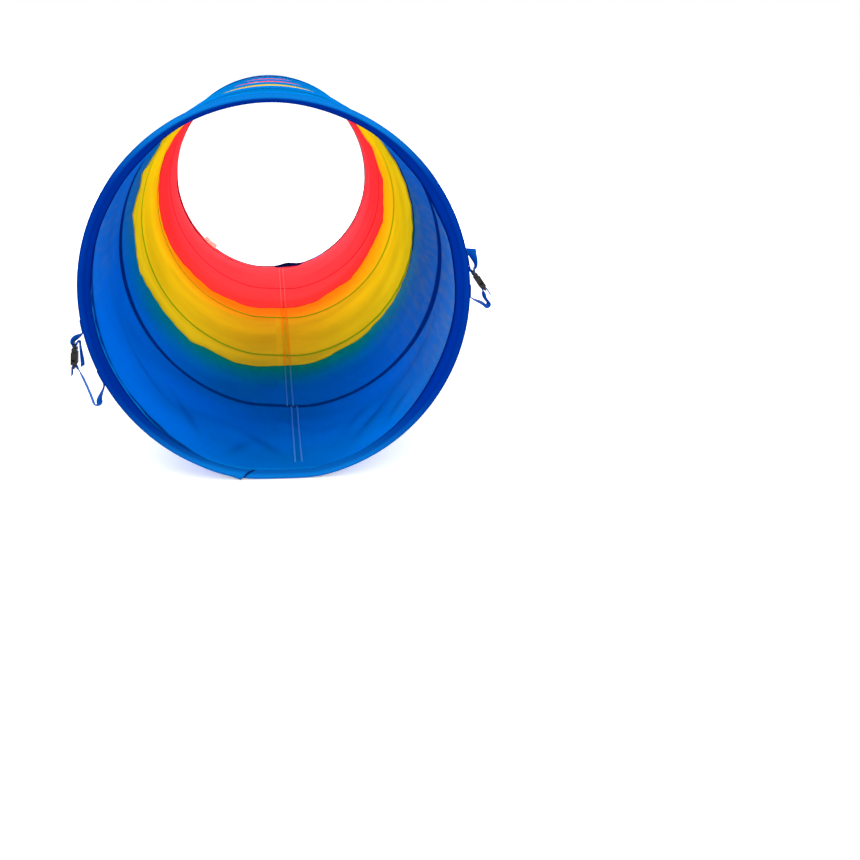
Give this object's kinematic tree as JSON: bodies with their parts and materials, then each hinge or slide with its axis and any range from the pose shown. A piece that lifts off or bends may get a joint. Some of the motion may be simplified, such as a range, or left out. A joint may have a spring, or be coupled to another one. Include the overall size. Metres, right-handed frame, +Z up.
{
  "type": "play tunnel",
  "caption": "Pop-up crawl tunnel of nylon panels on a coiled spring wire, with hemmed mouths and buckled webbing straps that hold it when it is pressed flat.",
  "frame": {"origin": "on the floor under the middle of the tunnel's length and width", "axes": "+Y along the tunnel from its near, blue mouth to its far, red mouth, +Z up, +X to the right for someone who looks in at the near mouth"},
  "size_m": [0.5238, 1.83, 0.478],
  "materials": {
    "near_hem": "woven nylon, sewn double",
    "blue_nylon": "thin woven nylon",
    "spring_steel": "drawn spring wire",
    "crimp_steel": "crimped sleeve",
    "yellow_nylon": "thin woven nylon",
    "red_nylon": "thin woven nylon",
    "navy_binding": "woven nylon, sewn double",
    "pale_red_cloth": "folded cloth, blank",
    "blue_webbing": "woven webbing",
    "black_plastic": "moulded, satin"
  },
  "bodies": {
    "near_end": {"near_hem": "near_hem", "blue_panel": "blue_nylon", "blue_wire_sleeve": "blue_nylon", "blue_wire": "spring_steel", "near_ferrule": "crimp_steel", "left_upper_sewn_end": "blue_webbing", "left_lower_sewn_end": "blue_webbing", "right_upper_sewn_end": "blue_webbing", "right_lower_sewn_end": "blue_webbing"},
    "blue_yellow_seam": {"blue_yellow_seam_tape": "yellow_nylon", "yellow_panel": "yellow_nylon", "yellow_wire_sleeve": "blue_nylon", "yellow_wire": "spring_steel"},
    "yellow_red_seam": {"yellow_red_seam_tape": "red_nylon", "red_panel": "red_nylon", "red_wire_sleeve": "blue_nylon"},
    "far_end": {"far_hem": "navy_binding", "red_wire": "spring_steel", "far_ferrule": "crimp_steel", "rim_tab": "pale_red_cloth"},
    "left_strap": {"left_upper_webbing": "blue_webbing", "left_buckle_plug": "black_plastic"},
    "left_strap_housing": {"left_buckle_housing": "black_plastic", "left_lower_webbing": "blue_webbing"},
    "right_strap": {"right_upper_webbing": "blue_webbing", "right_buckle_plug": "black_plastic"},
    "right_strap_housing": {"right_buckle_housing": "black_plastic", "right_lower_webbing": "blue_webbing"}
  },
  "joints": [
    {"name": "blue_slide", "type": "slide", "parent": "near_end", "child": "blue_yellow_seam", "axis": [0, 1, 0], "range_m": [-0.6, 0], "stiffness_N_per_m": 33, "springref_m": 0.09, "deforming": ["blue_panel", "blue_wire_sleeve", "blue_wire"]},
    {"name": "yellow_slide", "type": "slide", "parent": "blue_yellow_seam", "child": "yellow_red_seam", "axis": [0, 1, 0], "range_m": [-0.565, 0], "stiffness_N_per_m": 33, "springref_m": 0.09, "deforming": ["yellow_panel", "yellow_wire_sleeve", "yellow_wire"]},
    {"name": "red_slide", "type": "slide", "parent": "yellow_red_seam", "child": "far_end", "axis": [0, 1, 0], "range_m": [-0.565, 0], "stiffness_N_per_m": 33, "springref_m": 0.09, "deforming": ["red_panel", "red_wire_sleeve", "red_wire"]},
    {"name": "left_strap_swing", "type": "hinge", "parent": "near_end", "child": "left_strap", "pos_m": [-0.22634, -0.9025, 0.16338], "axis": [-0.3177, 0, 0.9482], "range_deg": [-20, 20], "stiffness_Nm_per_rad": 0.003, "deforming": ["left_upper_webbing"]},
    {"name": "left_buckle_release", "type": "slide", "parent": "left_strap", "child": "left_strap_housing", "axis": [-0.0698, 0, -0.9976], "range_m": [0, 0.02], "deforming": ["left_lower_webbing", "left_buckle_plug"]},
    {"name": "right_strap_swing", "type": "hinge", "parent": "near_end", "child": "right_strap", "pos_m": [0.23951, -0.9025, 0.25516], "axis": [-0.0422, 0, 0.9991], "range_deg": [-10, 10], "stiffness_Nm_per_rad": 0.003, "deforming": ["right_upper_webbing"]},
    {"name": "right_buckle_release", "type": "slide", "parent": "right_strap", "child": "right_strap_housing", "axis": [0.5592, 0, -0.829], "range_m": [0, 0.02], "deforming": ["right_lower_webbing", "right_buckle_plug"]}
  ]
}
